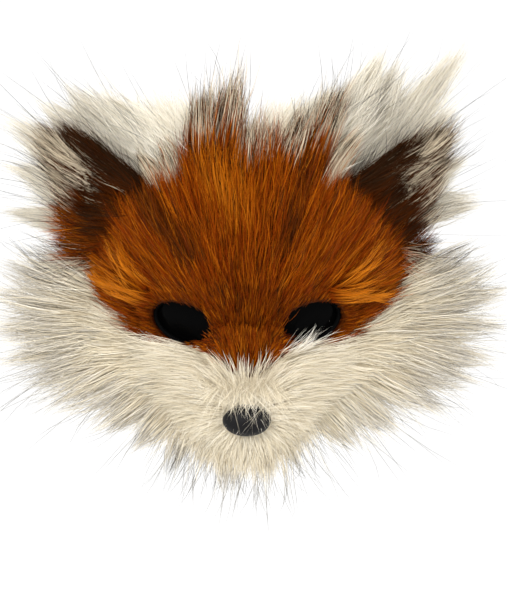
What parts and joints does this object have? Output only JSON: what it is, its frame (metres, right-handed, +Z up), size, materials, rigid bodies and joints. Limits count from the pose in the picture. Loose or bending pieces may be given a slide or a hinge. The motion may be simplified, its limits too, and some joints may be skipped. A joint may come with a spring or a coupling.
{
  "type": "fur fox half mask",
  "caption": "Worn half mask of an animal's face: thin moulded shell under long-pile fur, with cupped ears, a short muzzle, dark eye lenses, and an elastic strap round the head.",
  "frame": {"origin": "on the shell's inner face at the bridge of the nose, just above the middle of the eyes", "axes": "+Z up, the face looks towards -Y, the wearer's head is on the +Y side, +X is the viewer's right"},
  "size_m": [0.2952, 0.2104, 0.219],
  "materials": {
    "shell_plastic": "vacuum-moulded black sheet, satin",
    "rust_fur": "long-pile fur, rust with dark roots and dark tips",
    "cream_fur": "long-pile fur, cream",
    "ear_fur": "long-pile fur, dark brown with black tips",
    "pale_fur": "long-pile fur, off-white with grey tips",
    "nose_plastic": "black, fine-grained",
    "lens_plastic": "black, polished",
    "elastic": "black woven elastic"
  },
  "bodies": {
    "root": {"mask_shell": "shell_plastic", "face_fur": "rust_fur", "muzzle_fur": "cream_fur", "ear_left": "ear_fur", "ear_right": "ear_fur", "back_fur_left": "pale_fur", "back_fur_right": "pale_fur", "nose_pad": "nose_plastic", "eye_lens_left": "lens_plastic", "eye_lens_right": "lens_plastic", "elastic_strap": "elastic"}
  },
  "joints": []
}
